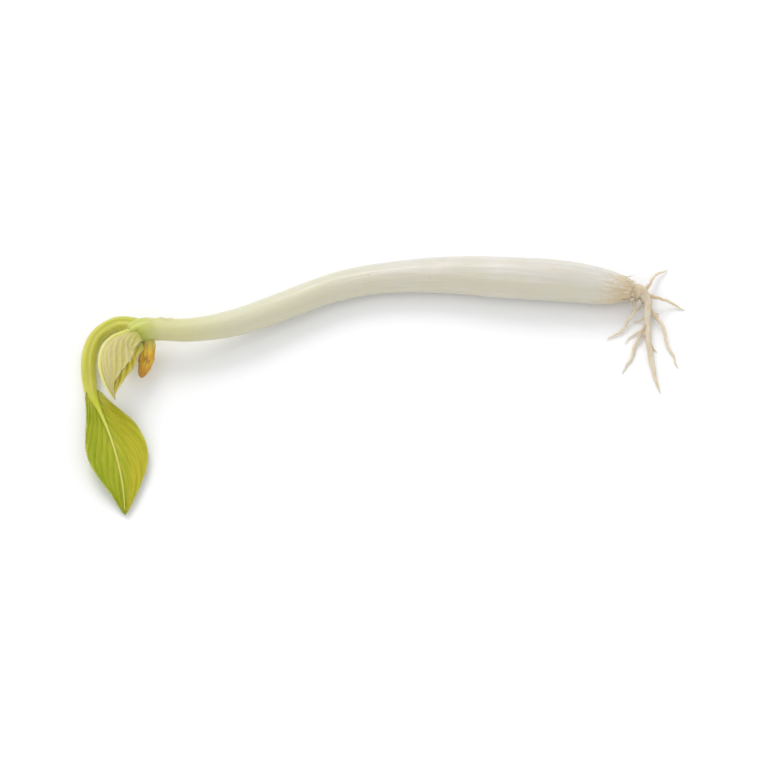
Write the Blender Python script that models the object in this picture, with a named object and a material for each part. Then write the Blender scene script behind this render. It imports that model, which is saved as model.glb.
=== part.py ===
"""One mung bean sprout lying on its side.

The white stem runs along X, with the root at +X and the first pair of leaves at -X. The plant was laid out in
plan from a point on its stem, in millimetres, and an empty then carries it so that the middle of its footprint
is at the origin. Z is up, and the surface it lies on is at z = 0.
"""

import math

import bmesh
import bpy
from mathutils import Vector

MM = 0.001
PLAN_CENTRE = (-1.64, -10.4)
UP = Vector((0, 0, 1))

# Stations are (x, y, z, radius) in millimetres, from the root end towards the leaves or outwards to a tip.
STEM_STATIONS = [
    (23.5, -0.1, 1.65, 0.95),
    (20.9, 0.2, 1.85, 1.75),
    (17.2, 0.7, 1.95, 2.07),
    (11.0, 1.2, 1.98, 2.10),
    (4.4, 1.6, 1.72, 1.84),
    (-1.8, 1.3, 1.60, 1.56),
    (-7.0, 0.1, 1.68, 1.45),
    (-12.1, -2.1, 1.90, 1.42),
    (-16.5, -4.0, 2.35, 1.36),
    (-20.9, -5.05, 2.85, 1.18),
    (-24.2, -5.1, 3.10, 1.12),
]
TAPROOT_STATIONS = [
    (23.97, -0.14, 1.60, 0.80),
    (24.5, -0.45, 1.50, 0.72),
    (24.9, -1.5, 1.15, 0.55),
    (24.85, -3.2, 0.72, 0.46),
    (24.95, -5.4, 0.46, 0.42),
    (25.3, -7.9, 0.38, 0.36),
    (26.0, -10.8, 0.30, 0.24),
]
ROOTLET_STATIONS = [
    [(24.1, -0.4, 1.3, 0.30), (23.5, -2.1, 0.9, 0.26), (22.4, -3.6, 0.45, 0.24), (20.8, -4.9, 0.24, 0.20)],
    [(24.7, -0.5, 1.4, 0.30), (26.1, -0.6, 1.2, 0.26), (27.4, -1.0, 0.6, 0.23), (28.6, -1.7, 0.24, 0.20)],
    [(24.8, -1.4, 1.1, 0.30), (26.2, -3.2, 0.6, 0.26), (26.9, -5.6, 0.28, 0.24), (28.0, -8.0, 0.24, 0.20)],
    [(24.8, -3.4, 0.7, 0.30), (23.7, -5.1, 0.35, 0.25), (23.1, -7.0, 0.26, 0.23), (22.2, -8.6, 0.24, 0.20)],
    [(24.3, -0.2, 1.4, 0.30), (25.1, 1.1, 1.2, 0.25), (25.8, 2.2, 0.6, 0.23), (27.1, 2.9, 0.24, 0.20)],
]
EPICOTYL_STATIONS = [
    (-24.6, -5.1, 3.12, 1.10),
    (-25.5, -5.18, 3.16, 1.20),
    (-26.45, -5.4, 3.12, 1.04),
]
BUD_STATIONS = [
    (-26.1, -5.3, 2.7, 0.42),
    (-27.0, -5.9, 2.2, 0.40),
    (-27.6, -6.3, 1.95, 0.30),
    (-28.1, -6.7, 1.8, 0.12),
]
STUB_STATIONS = [
    (-25.1, -6.72, 2.72, 0.60),
    (-25.3, -7.5, 2.42, 0.78),
    (-25.5, -8.4, 2.05, 0.72),
    (-25.8, -9.3, 1.80, 0.48),
    (-25.9, -9.8, 1.65, 0.20),
]
OUTER_PETIOLE_STATIONS = [
    (-26.95, -4.4, 2.70, 0.68),
    (-28.6, -4.35, 2.45, 0.80),
    (-30.3, -5.3, 1.90, 0.80),
    (-31.1, -7.0, 1.45, 0.79),
    (-31.2, -9.0, 1.10, 0.78),
    (-30.9, -11.2, 0.95, 0.74),
]
OUTER_MIDRIB_STATIONS = [
    (-30.9, -11.2, 0.95, 0.74),
    (-30.2, -13.0, 0.95, 0.56),
    (-29.3, -15.6, 1.00, 0.44),
    (-28.5, -18.4, 0.95, 0.40),
    (-27.8, -21.3, 0.74, 0.37),
    (-27.3, -24.2, 0.42, 0.33),
]
INNER_PETIOLE_STATIONS = [
    (-26.95, -5.85, 3.60, 0.60),
    (-27.6, -6.0, 3.70, 0.62),
]
INNER_MIDRIB_STATIONS = [
    (-27.6, -6.0, 3.70, 0.62),
    (-28.9, -6.6, 3.82, 0.54),
    (-29.75, -7.9, 3.88, 0.48),
    (-29.95, -9.6, 3.82, 0.43),
    (-29.4, -11.4, 3.62, 0.39),
    (-28.5, -13.0, 3.36, 0.34),
]

BLADE_THICKNESS = 0.64
OUTER_HALF_WIDTH = 3.2
OUTER_BASE_WIDTH = 0.8
OUTER_LEFT_DEGREES = 38.0
OUTER_RIGHT_DEGREES = 14.0
OUTER_VEINS = 6.0
OUTER_VEIN_SLANT = 0.7
INNER_HALF_WIDTH = 3.1
INNER_BASE_WIDTH = 1.7
INNER_HOLLOW_SIDE = Vector((0.9, -0.42, 0)).normalized()
INNER_UPPER_RADIUS = 1.15
INNER_UPPER_DEGREES = -12.0
INNER_LOWER_RADIUS = 0.55
INNER_LOWER_DEGREES = 8.0
INNER_VEINS = 5.0
INNER_VEIN_SLANT = 1.1
PLEAT_DEPTH = 0.12


def principled(name, color, roughness):
    """A material of one colour, as the tissue looks from a step away."""
    material = bpy.data.materials.new(name)
    material.use_nodes = True
    shader = material.node_tree.nodes["Principled BSDF"]
    shader.inputs["Base Color"].default_value = (*color, 1.0)
    shader.inputs["Roughness"].default_value = roughness
    shader.inputs["Metallic"].default_value = 0.0
    return material


def smooth_through(stations, steps):
    """Points of a smooth curve through the stations, with this many steps between two of them."""
    padded = [stations[0], *stations, stations[-1]]
    points = []
    for index in range(len(stations) - 1):
        before, start, end, after = (Vector(station) for station in padded[index:index + 4])
        for step in range(steps):
            t = step / steps
            bend = (2 * before - 5 * start + 4 * end - after) * t * t
            twist = (3 * start - before - 3 * end + after) * t * t * t
            points.append((2 * start + (end - before) * t + bend + twist) / 2)
    points.append(Vector(stations[-1]))
    return points


def place_along(points, share):
    """The point and the direction at a share, 0 to 1, of a line of points."""
    last = len(points) - 1
    index = min(int(share * last), last - 1)
    left = share * last - index
    start, end = points[index].to_3d(), points[index + 1].to_3d()
    before, after = points[max(index - 1, 0)].to_3d(), points[min(index + 2, last)].to_3d()
    direction = (end - before).lerp(after - start, left).normalized()
    return start.lerp(end, left), direction


def tube(name, stations, steps, side_steps):
    """A round stem through the stations, closed at both ends, made a mesh."""
    curve = bpy.data.curves.new(name, "CURVE")
    curve.dimensions = "3D"
    curve.bevel_depth = MM
    curve.bevel_resolution = side_steps
    curve.use_fill_caps = True
    points = smooth_through(stations, steps)
    spline = curve.splines.new("POLY")
    spline.points.add(len(points) - 1)
    for target, point in zip(spline.points, points):
        target.co = (*(point.to_3d() * MM), 1.0)
        target.radius = point[3]
    line = bpy.data.objects.new(name + "_line", curve)
    bpy.context.scene.collection.objects.link(line)
    stem = as_mesh(line, name)
    for polygon in stem.data.polygons:
        polygon.use_smooth = True
    return stem


def as_mesh(source, name):
    """A mesh object of the source as it is evaluated, with its doubles merged. The source is removed."""
    bpy.context.view_layer.update()
    evaluated = source.evaluated_get(bpy.context.evaluated_depsgraph_get())
    mesh = bpy.data.meshes.new_from_object(evaluated)
    shape = bmesh.new()
    shape.from_mesh(mesh)
    bmesh.ops.remove_doubles(shape, verts=shape.verts[:], dist=0.000001)
    shape.to_mesh(mesh)
    shape.free()
    solid = bpy.data.objects.new(name, mesh)
    solid.matrix_world = source.matrix_world
    bpy.context.scene.collection.objects.link(solid)
    bpy.data.objects.remove(source)
    return solid


def blade(name, surface, columns, rows):
    """A flat plate of triangles bent into a leaf blade by surface(across, along), a point and a normal."""
    shape = bmesh.new()
    bmesh.ops.create_grid(shape, x_segments=columns, y_segments=rows, size=1.0)
    bmesh.ops.triangulate(shape, faces=shape.faces[:])
    top = bmesh.ops.extrude_face_region(shape, geom=shape.faces[:])["geom"]
    raised = {item for item in top if isinstance(item, bmesh.types.BMVert)}
    for vert in shape.verts:
        point, normal = surface(vert.co.x, min(1.0, (vert.co.y + 1) / 2))
        side = 0.5 if vert in raised else -0.5
        vert.co = (point + normal * (side * BLADE_THICKNESS)) * MM
    bmesh.ops.recalc_face_normals(shape, faces=shape.faces[:])
    if shape.calc_volume(signed=True) < 0:
        bmesh.ops.reverse_faces(shape, faces=shape.faces[:])
    mesh = bpy.data.meshes.new(name)
    shape.to_mesh(mesh)
    shape.free()
    sheet = bpy.data.objects.new(name, mesh)
    bpy.context.scene.collection.objects.link(sheet)
    return sheet


def fuse(base, pieces):
    """Join the pieces to the base, which they are sunk into, as one solid."""
    group = bpy.data.collections.new(base.name + "_pieces")
    bpy.context.scene.collection.children.link(group)
    for piece in pieces:
        group.objects.link(piece)
    union = base.modifiers.new("Grown together", "BOOLEAN")
    union.operation = "UNION"
    union.operand_type = "COLLECTION"
    union.collection = group
    union.solver = "EXACT"
    name = base.name
    base.name = name + "_base"
    whole = as_mesh(base, name)
    for piece in pieces:
        bpy.data.objects.remove(piece)
    bpy.data.collections.remove(group)
    return whole


def leaf_outline(half_width, base_width, along):
    """Half the width of a leaf that opens like a wedge, is widest at its middle and narrows to a point."""
    swell = math.sin(math.pi * along ** 1.12)
    return base_width * (1 - along) ** 2 + 0.16 + half_width * swell ** 1.25


def vein_pleat(across, along, veins, slant):
    """The height of the pleats between side veins, which run forward from the midrib to the edge."""
    wave = math.cos(2 * math.pi * veins * (along - slant * abs(across)))
    fade = math.sin(math.pi * min(1.0, max(0.0, along))) * min(1.0, 3 * abs(across))
    return PLEAT_DEPTH * wave * fade


def outer_surface(across, along):
    """The outer leaf's blade: a shallow trough along the midrib, which lies lowest and opens upwards."""
    middle, forward = place_along(OUTER_MIDRIB, along)
    side = forward.cross(UP).normalized()
    above = side.cross(forward)
    half = leaf_outline(OUTER_HALF_WIDTH, OUTER_BASE_WIDTH, along)
    opening = OUTER_LEFT_DEGREES if across > 0 else OUTER_RIGHT_DEGREES
    tilt = math.radians(opening * (1 - 0.45 * along))
    reach = across * half
    rise = abs(reach) * math.sin(tilt) - 0.035 * reach * reach
    flutter = 0.16 * across * across * math.sin(9 * along + 1.3 * across)
    height = rise + flutter + vein_pleat(across, along, OUTER_VEINS, OUTER_VEIN_SLANT)
    return middle + side * (reach * math.cos(tilt)) + above * height, above


def inner_surface(across, along):
    """The inner leaf's blade, folded round its midrib. Its upper half bulges like a hood over the lower one."""
    middle, forward = place_along(INNER_MIDRIB, along)
    inward = (UP.cross(forward) + INNER_HOLLOW_SIDE).normalized()
    half = leaf_outline(INNER_HALF_WIDTH, INNER_BASE_WIDTH, along)
    reach = abs(across) * half
    upper = across > 0
    radius = INNER_UPPER_RADIUS if upper else INNER_LOWER_RADIUS
    tilt = math.radians(INNER_UPPER_DEGREES if upper else INNER_LOWER_DEGREES)
    bend_length = radius * (math.pi / 2 - tilt)
    angle = min(reach, bend_length) / radius
    straight = max(0.0, reach - bend_length)
    half_side = UP if upper else -UP
    normal = half_side * math.sin(angle) - inward * math.cos(angle)
    inner = radius * (1 - math.cos(angle)) + straight * math.cos(tilt)
    height = radius * math.sin(angle) + straight * math.sin(tilt)
    pleat = vein_pleat(across, along, INNER_VEINS, INNER_VEIN_SLANT)
    return middle + inward * inner + half_side * height + normal * pleat, normal


def make_hypocotyl():
    """The fleshy stem. Its belly is pressed flat where it lies on the surface."""
    stem = tube("hypocotyl", STEM_STATIONS, 4, 6)
    bpy.ops.mesh.primitive_cube_add(size=1.0)
    floor = bpy.context.object
    floor.name = "floor_cut"
    floor.scale = (0.08, 0.04, 0.004)
    floor.location = (0, 0, -0.002)
    floor.hide_render = True
    floor.display_type = "WIRE"
    flat = stem.modifiers.new("Flat where it lies", "BOOLEAN")
    flat.operation = "DIFFERENCE"
    flat.object = floor
    flat.solver = "EXACT"
    return stem, floor


def make_root():
    """The taproot, which bends down to the surface, and its side rootlets."""
    taproot = tube("root", TAPROOT_STATIONS, 4, 3)
    rootlets = [tube(f"rootlet_{n}", stations, 3, 1) for n, stations in enumerate(ROOTLET_STATIONS)]
    return fuse(taproot, rootlets)


def make_epicotyl():
    """The short stalk between the seed leaves' node and the first leaves, with its end bud."""
    stalk = tube("epicotyl", EPICOTYL_STATIONS, 4, 5)
    bud = tube("bud", BUD_STATIONS, 3, 3)
    return fuse(stalk, [bud])


def make_leaf(name, petiole_stations, midrib_stations, surface, columns, rows):
    """A leaf: the petiole runs on as the midrib, and the blade is joined to it."""
    stalk = tube(name, petiole_stations + midrib_stations[1:], 3, 3)
    return fuse(stalk, [blade(name + "_blade", surface, columns, rows)])


def carry(piece, carrier, collection):
    """Parent a piece to its carrier and keep it in one collection."""
    piece.parent = carrier
    for holder in list(piece.users_collection):
        holder.objects.unlink(piece)
    collection.objects.link(piece)


OUTER_MIDRIB = smooth_through(OUTER_MIDRIB_STATIONS, 6)
INNER_MIDRIB = smooth_through(INNER_MIDRIB_STATIONS, 6)

for old in list(bpy.data.objects):
    bpy.data.objects.remove(old)

white_flesh = principled("stem_flesh", (0.86, 0.85, 0.80), 0.35)
root_skin = principled("root_skin", (0.72, 0.56, 0.36), 0.6)
green_shoot = principled("green_shoot", (0.62, 0.66, 0.24), 0.4)
rust = principled("withered_rust", (0.55, 0.27, 0.08), 0.65)
leaf_green = principled("leaf_green", (0.36, 0.45, 0.07), 0.45)
leaf_pale = principled("leaf_pale", (0.60, 0.57, 0.22), 0.5)

hypocotyl, floor_cut = make_hypocotyl()
pieces = [
    (hypocotyl, white_flesh),
    (make_root(), root_skin),
    (make_epicotyl(), green_shoot),
    (tube("cotyledon_stub", STUB_STATIONS, 3, 4), rust),
    (make_leaf("leaf_outer", OUTER_PETIOLE_STATIONS, OUTER_MIDRIB_STATIONS, outer_surface, 10, 34), leaf_green),
    (make_leaf("leaf_inner", INNER_PETIOLE_STATIONS, INNER_MIDRIB_STATIONS, inner_surface, 16, 22), leaf_pale),
]

sprout = bpy.data.collections.new("mung_bean_sprout")
cutters = bpy.data.collections.new("cutters")
for collection in (sprout, cutters):
    bpy.context.scene.collection.children.link(collection)

carrier = bpy.data.objects.new("footprint_centre", None)
carrier.location = (-PLAN_CENTRE[0] * MM, -PLAN_CENTRE[1] * MM, 0)
sprout.objects.link(carrier)
for piece, material in pieces:
    piece.data.materials.clear()
    piece.data.materials.append(material)
    carry(piece, carrier, sprout)
carry(floor_cut, carrier, cutters)
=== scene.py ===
"""The looks of one mung bean sprout: moist stem, torn root collar, thin roots and a pair of first leaves.

Shapes are worked out in plan millimetres, as the plant was laid out, and moved to the frame by world().
"""

import math
import random

import bmesh
import bpy
from mathutils import Matrix, Vector, noise

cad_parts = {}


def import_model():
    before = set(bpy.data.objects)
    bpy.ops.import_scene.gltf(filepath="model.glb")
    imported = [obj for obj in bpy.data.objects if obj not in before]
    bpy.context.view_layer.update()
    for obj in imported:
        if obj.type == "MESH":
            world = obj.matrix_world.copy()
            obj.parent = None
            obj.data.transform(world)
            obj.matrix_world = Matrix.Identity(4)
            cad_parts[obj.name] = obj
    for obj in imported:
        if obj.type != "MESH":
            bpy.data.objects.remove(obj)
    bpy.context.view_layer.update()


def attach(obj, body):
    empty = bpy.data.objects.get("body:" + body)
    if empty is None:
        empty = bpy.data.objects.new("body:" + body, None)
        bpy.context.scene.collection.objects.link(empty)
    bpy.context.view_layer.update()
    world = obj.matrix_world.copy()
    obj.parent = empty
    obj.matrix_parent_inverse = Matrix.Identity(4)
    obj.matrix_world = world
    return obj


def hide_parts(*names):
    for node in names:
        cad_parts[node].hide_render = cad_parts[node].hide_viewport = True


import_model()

MM = 0.001
PLAN_CENTRE = Vector((-1.64, -10.4, 0))
UP = Vector((0, 0, 1))
MERGE_METRES = 1e-8
LOWEST_MM = 0.004
SHARP_DEGREES = 65

CAMERA_LENS = 300
CAMERA_SENSOR = 36
CAMERA_ELEVATION = 65
CAMERA_DISTANCE = 0.640
CAMERA_TARGET = Vector((0, 0, 0.0015))

# Each skin or plate is bent from a grid of so many cells around or across, and so many along.
STEM_GRID = (96, 560)
TAPROOT_GRID = (48, 200)
ROOTLET_GRID = (24, 90)
FINE_ROOTLET_GRID = (12, 36)
SHRED_GRID = (3, 18)
BUD_GRID = (60, 70)
STUB_GRID = (72, 110)
STALK_GRID = (48, 260)
OUTER_BLADE_GRID = (90, 150)
INNER_BLADE_GRID = (120, 120)

FINE_ROOTLETS = 7
SHREDS = 17
ROOT_HAIRS_PER_MM = 14
STALK_HAIRS_PER_MM = 26
MARGIN_HAIRS = 160
ROOT_HAIR_RADIUS = 0.006
STALK_HAIR_RADIUS = 0.009
MARGIN_HAIR_RADIUS = 0.008
SHRED_THICKNESS = 0.028
NET_FINENESS = 17.0

FLOOR_WHITE = (0.90, 0.90, 0.905, 1.0)
FLOOR_SIZE = 2.0
FLOOR_HEIGHT = -0.00001
ROOM_WHITE = (0.98, 0.985, 1.0, 1.0)
ROOM_STRENGTH = 0.93
# Each sun has a name, the place it shines from, its spread in degrees and its strength.
SUNS = [
    ("daylight", (-0.30, 0.85, 0.9), 28, 1.0),
    ("side_light", (-0.9, -0.1, 0.8), 60, 0.25),
]

# Stations are (x, y, z, radius) in plan millimetres, or (x, y, z) along the middle of a blade.
STEM_STATIONS = [
    (23.5, -0.1, 1.65, 0.95),
    (20.9, 0.2, 1.85, 1.75),
    (17.2, 0.7, 1.95, 2.07),
    (11.0, 1.2, 1.98, 2.10),
    (4.4, 1.6, 1.72, 1.84),
    (-1.8, 1.3, 1.60, 1.56),
    (-7.0, 0.1, 1.68, 1.45),
    (-12.1, -2.1, 1.90, 1.42),
    (-16.5, -4.0, 2.35, 1.36),
    (-20.9, -5.05, 2.85, 1.18),
    (-24.2, -5.1, 3.10, 1.12),
    (-25.4, -5.18, 3.16, 1.24),
    (-26.3, -5.42, 3.14, 1.22),
    (-26.95, -5.64, 3.10, 0.98),
    (-27.4, -5.8, 3.08, 0.56),
]
TAPROOT_STATIONS = [
    (22.9, -0.05, 1.66, 0.80),
    (23.97, -0.14, 1.60, 0.76),
    (24.5, -0.45, 1.50, 0.58),
    (24.9, -1.5, 1.15, 0.41),
    (24.85, -3.2, 0.70, 0.33),
    (24.95, -5.4, 0.42, 0.29),
    (25.3, -7.9, 0.30, 0.24),
    (26.0, -10.8, 0.16, 0.07),
]
ROOTLET_STATIONS = [
    [(24.1, -0.4, 1.3, 0.25), (23.5, -2.1, 0.9, 0.18), (22.4, -3.6, 0.40, 0.14), (20.8, -4.9, 0.12, 0.05)],
    [(24.7, -0.5, 1.4, 0.24), (26.1, -0.6, 1.2, 0.17), (27.4, -1.0, 0.5, 0.13), (28.6, -1.7, 0.12, 0.05)],
    [(24.8, -1.4, 1.1, 0.25), (26.2, -3.2, 0.6, 0.18), (26.9, -5.6, 0.22, 0.14), (28.0, -8.0, 0.12, 0.05)],
    [(24.8, -3.4, 0.7, 0.23), (23.7, -5.1, 0.32, 0.17), (23.1, -7.0, 0.20, 0.13), (22.2, -8.6, 0.10, 0.05)],
    [(24.3, -0.2, 1.4, 0.24), (25.1, 1.1, 1.2, 0.17), (25.8, 2.2, 0.5, 0.13), (27.1, 2.9, 0.12, 0.05)],
]
BUD_STATIONS = [
    (-26.1, -5.3, 2.7, 0.42),
    (-27.0, -5.9, 2.2, 0.42),
    (-27.6, -6.3, 1.95, 0.30),
    (-28.1, -6.7, 1.8, 0.10),
]
STUB_STATIONS = [
    (-25.2, -6.05, 2.80, 0.62),
    (-25.25, -6.72, 2.72, 0.72),
    (-25.38, -7.5, 2.42, 0.80),
    (-25.5, -8.4, 2.05, 0.72),
    (-25.8, -9.3, 1.80, 0.48),
    (-25.9, -9.8, 1.65, 0.20),
]
OUTER_PETIOLE_STATIONS = [
    (-25.7, -4.85, 3.02, 0.66),
    (-26.95, -4.4, 2.72, 0.76),
    (-28.6, -4.35, 2.45, 0.80),
    (-30.3, -5.3, 1.90, 0.80),
    (-31.1, -7.0, 1.45, 0.78),
    (-31.2, -9.0, 1.10, 0.76),
    (-30.9, -11.2, 0.98, 0.60),
    (-30.1, -13.0, 1.00, 0.24),
    (-29.05, -15.6, 1.02, 0.125),
    (-28.2, -18.4, 0.97, 0.10),
    (-27.6, -21.3, 0.76, 0.08),
    (-27.35, -23.9, 0.46, 0.05),
]
OUTER_MIDRIB_STATIONS = [
    (-31.0, -10.6, 0.98),
    (-30.0, -13.25, 0.96),
    (-28.95, -15.9, 1.00),
    (-28.15, -18.6, 0.95),
    (-27.6, -21.4, 0.74),
    (-27.3, -24.2, 0.42),
]
INNER_PETIOLE_STATIONS = [
    (-26.0, -5.45, 3.40, 0.50),
    (-26.95, -5.8, 3.62, 0.52),
    (-27.6, -5.95, 3.72, 0.42),
    (-28.9, -6.55, 3.84, 0.30),
    (-29.75, -7.85, 3.90, 0.24),
    (-29.95, -9.6, 3.84, 0.20),
    (-29.4, -11.4, 3.64, 0.15),
    (-28.6, -12.8, 3.40, 0.07),
]
INNER_MIDRIB_STATIONS = [
    (-26.6, -5.55, 3.66),
    (-27.7, -5.95, 3.74),
    (-28.9, -6.6, 3.82),
    (-29.75, -7.9, 3.88),
    (-29.95, -9.6, 3.82),
    (-29.4, -11.4, 3.62),
    (-28.5, -13.0, 3.36),
]

OUTER_FORM = {"half_width": 2.95, "base_width": 0.62, "taper": 1.4, "foot": 0.10}
OUTER_LEFT_DEGREES = 38.0
OUTER_RIGHT_DEGREES = 14.0
OUTER_VEINS = 6.0
OUTER_VEIN_SLANT = 0.7
INNER_FORM = {"half_width": 3.1, "base_width": 2.3, "taper": 1.25, "foot": 0.09}
INNER_HOLLOW_SIDE = Vector((0.9, -0.42, 0)).normalized()
INNER_UPPER_RADIUS = 1.15
INNER_UPPER_DEGREES = -12.0
INNER_LOWER_RADIUS = 0.55
INNER_LOWER_DEGREES = 8.0
INNER_VEINS = 5.0
INNER_VEIN_SLANT = 1.1
OUTER_PLEAT = 0.10
INNER_PLEAT = 0.07
VEIN_HEIGHT = 0.03
LEAF_THICKNESS = 0.30


def world(point):
    """A point in plan millimetres, in the frame's metres."""
    return (point - PLAN_CENTRE) * MM


def smooth_through(stations, steps):
    """Points of a smooth curve through the stations, with this many steps between two of them."""
    padded = [stations[0], *stations, stations[-1]]
    points = []
    for index in range(len(stations) - 1):
        before, start, end, after = (Vector(station) for station in padded[index:index + 4])
        for step in range(steps):
            t = step / steps
            bend = (2 * before - 5 * start + 4 * end - after) * t * t
            twist = (3 * start - before - 3 * end + after) * t * t * t
            points.append((2 * start + (end - before) * t + bend + twist) / 2)
    points.append(Vector(stations[-1]))
    return points


class Limb:
    """A stem, root or midrib: a smooth line with a radius, which knows how far it has run."""

    def __init__(self, stations, steps=10):
        self.points = smooth_through(stations, steps)
        self.runs = [0.0]
        for before, after in zip(self.points, self.points[1:]):
            self.runs.append(self.runs[-1] + (after - before).to_3d().length)
        self.length = self.runs[-1]

    def at(self, share):
        """Centre, forward, side, above, radius and length run, at a share of the line."""
        last = len(self.points) - 1
        index = min(int(share * last), last - 1)
        left = share * last - index
        start, end = self.points[index], self.points[index + 1]
        before, after = self.points[max(index - 1, 0)], self.points[min(index + 2, last)]
        forward = (end - before).to_3d().lerp((after - start).to_3d(), left).normalized()
        side = forward.cross(UP).normalized()
        spot = start.lerp(end, left)
        run = self.runs[index] + left * (self.runs[index + 1] - self.runs[index])
        radius = spot[3] if len(spot) > 3 else 0.0
        return spot.to_3d(), forward, side, side.cross(forward), radius, run


def dome(gap, height):
    """How wide a rounded end is, as a share of full width, at a gap from its tip."""
    if gap >= height:
        return 1.0
    return math.sqrt(max(0.0, 1 - (1 - gap / height) ** 2))


def bell(distance, width):
    """A smooth hump of height 1."""
    return math.exp(-(distance / width) ** 2)


def waver(x, y, z):
    """Smooth noise from -1 to 1."""
    return noise.noise(Vector((x, y, z)))


def mesh_object(name, shape, material, slot, *nodes):
    """Make the bmesh an object that stands for one node of the frame or more."""
    mesh = bpy.data.meshes.new(name)
    shape.to_mesh(mesh)
    shape.free()
    mesh.shade_smooth()
    mesh.set_sharp_from_angle(angle=math.radians(SHARP_DEGREES))
    mesh.materials.append(material)
    piece = bpy.data.objects.new(name, mesh)
    bpy.context.scene.collection.objects.link(piece)
    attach(piece, "root")
    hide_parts(*nodes)
    return piece


def flat_grid(shape, cells):
    """A flat grid from -1 to 1, of so many cells across and so many along, as a list of its points."""
    return bmesh.ops.create_grid(shape, x_segments=cells[0], y_segments=cells[1], size=1.0)["verts"]


def raised_copy(shape, faces):
    """Give a sheet a second layer over it, and return the new layer's points."""
    made = bmesh.ops.extrude_face_region(shape, geom=faces)["geom"]
    return [item for item in made if isinstance(item, bmesh.types.BMVert)]


def grid_share(y):
    """How far up a grid of size 1 a height is, from 0 to 1, with the last row at exactly 1."""
    return min(max(round((y + 1) / 2, 6), 0.0), 1.0)


def rolled_skin(cells, place):
    """Roll a grid into a closed skin by place(angle, share): a point, its place on the limb and a mark."""
    shape = bmesh.new()
    flat_grid(shape, cells)
    grown = shape.verts.layers.float_vector.new("grown")
    mark = shape.verts.layers.float.new("mark")
    for vert in shape.verts:
        angle = math.pi * (vert.co.x + 1)
        share = grid_share(vert.co.y)
        point, vert[grown], vert[mark] = place(angle, share)
        point.z = max(point.z, LOWEST_MM)
        vert.co = world(point)
    bmesh.ops.remove_doubles(shape, verts=shape.verts[:], dist=MERGE_METRES)
    bmesh.ops.recalc_face_normals(shape, faces=shape.faces[:])
    return shape


def bent_plate(cells, surface):
    """Bend a plate into a leaf blade just under surface(across, along), which gives a point and a normal."""
    shape = bmesh.new()
    layer = shape.verts.layers.float_vector.new("blade")
    flat_grid(shape, cells)
    raised = set(raised_copy(shape, shape.faces[:]))
    for vert in shape.verts:
        across = vert.co.x
        along = grid_share(vert.co.y)
        upper = vert in raised
        point, normal = surface(across, along)
        depth = LEAF_THICKNESS * (1 - 0.6 * abs(across) ** 8) * (1 - 0.8 * along ** 12)
        point = point - normal * (depth * (0.5 if upper else 1.5))
        point.z = max(point.z, LOWEST_MM)
        # The third number sets the two sides' patterns apart.
        vert[layer] = (across, along, -1.0 if upper else -0.8)
        vert.co = world(point)
    bmesh.ops.recalc_face_normals(shape, faces=shape.faces[:])
    if shape.calc_volume(signed=True) < 0:
        bmesh.ops.reverse_faces(shape, faces=shape.faces[:])
    return shape


def add_spike(shape, root, direction, length, radius):
    """A fine tapered hair from a root point, in plan millimetres."""
    turn = direction.to_track_quat("Z", "Y").to_matrix().to_4x4()
    middle = world(root + direction * (length / 2 - radius))
    bmesh.ops.create_cone(
        shape, cap_ends=True, segments=4, radius1=radius * MM, radius2=radius * 0.15 * MM,
        depth=length * MM, matrix=Matrix.Translation(middle) @ turn,
    )


STEM = Limb(STEM_STATIONS)
NODE_STATION = 10
NODE_SHARE = NODE_STATION / (len(STEM_STATIONS) - 1)
NODE_RUN = STEM.at(NODE_SHARE)[5]

STEM_COLORS = {
    "flesh": (0.655, 0.645, 0.612),
    "threads": (0.565, 0.548, 0.495),
    "bands": (0.62, 0.58, 0.495),
    "clouds": (0.58, 0.56, 0.44),
    "flecks": (0.50, 0.37, 0.18),
    "upper stem": (0.61, 0.598, 0.425),
    # Painted shade for the stem's front, lower side (towards -Y).
    "shaded side": (0.60, 0.57, 0.41),
    "neck": (0.60, 0.575, 0.29),
    "shoot": (0.54, 0.55, 0.13),
    "shoot threads": (0.42, 0.47, 0.06),
    "collar": (0.60, 0.48, 0.30),
    "creases": (0.44, 0.30, 0.12),
}
ROOT_COLORS = {
    "skin": (0.66, 0.57, 0.42),
    "threads": (0.54, 0.42, 0.26),
    "clouds": (0.70, 0.65, 0.53),
    "creases": (0.46, 0.31, 0.15),
}
SHRED_COLORS = {
    "straw": (0.74, 0.64, 0.46),
    "tan": (0.60, 0.46, 0.27),
    "bleached": (0.80, 0.74, 0.60),
}
STUB_COLORS = {
    "ochre": (0.72, 0.49, 0.06),
    "rust": (0.66, 0.31, 0.025),
    "base": (0.54, 0.50, 0.13),
    "tip": (0.42, 0.20, 0.04),
    "creases": (0.26, 0.11, 0.025),
}
BUD_COLORS = {
    "skin": (0.50, 0.53, 0.12),
    "threads": (0.38, 0.45, 0.055),
    "clouds": (0.56, 0.54, 0.14),
}
HAIR_COLORS = {"clear": (0.80, 0.79, 0.66), "yellow": (0.72, 0.70, 0.48)}
OUTER_STALK_COLORS = {
    "skin": (0.58, 0.555, 0.115),
    "threads": (0.46, 0.475, 0.05),
    "clouds": (0.58, 0.53, 0.07),
    "blade base": (0.54, 0.57, 0.045),
    "midrib": (0.62, 0.62, 0.12),
}
INNER_STALK_COLORS = {
    "skin": (0.57, 0.56, 0.12),
    "threads": (0.46, 0.49, 0.06),
    "clouds": (0.58, 0.53, 0.07),
    "blade base": (0.58, 0.57, 0.13),
    "midrib": (0.68, 0.64, 0.24),
}
OUTER_BLADE_COLORS = {
    "light": (0.43, 0.45, 0.020),
    "deep": (0.31, 0.39, 0.008),
    # Painted shade: deeper green laid between the side veins; also the colour of the fine net.
    "painted shade and net": (0.21, 0.29, 0.006),
    "lit": (0.50, 0.44, 0.022),
    "vein": (0.53, 0.50, 0.10),
    # Partly painted light: the blade's foot takes its stalk's tone, lightened against the stalk's shade.
    "foot": (0.46, 0.45, 0.08),
}
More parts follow.
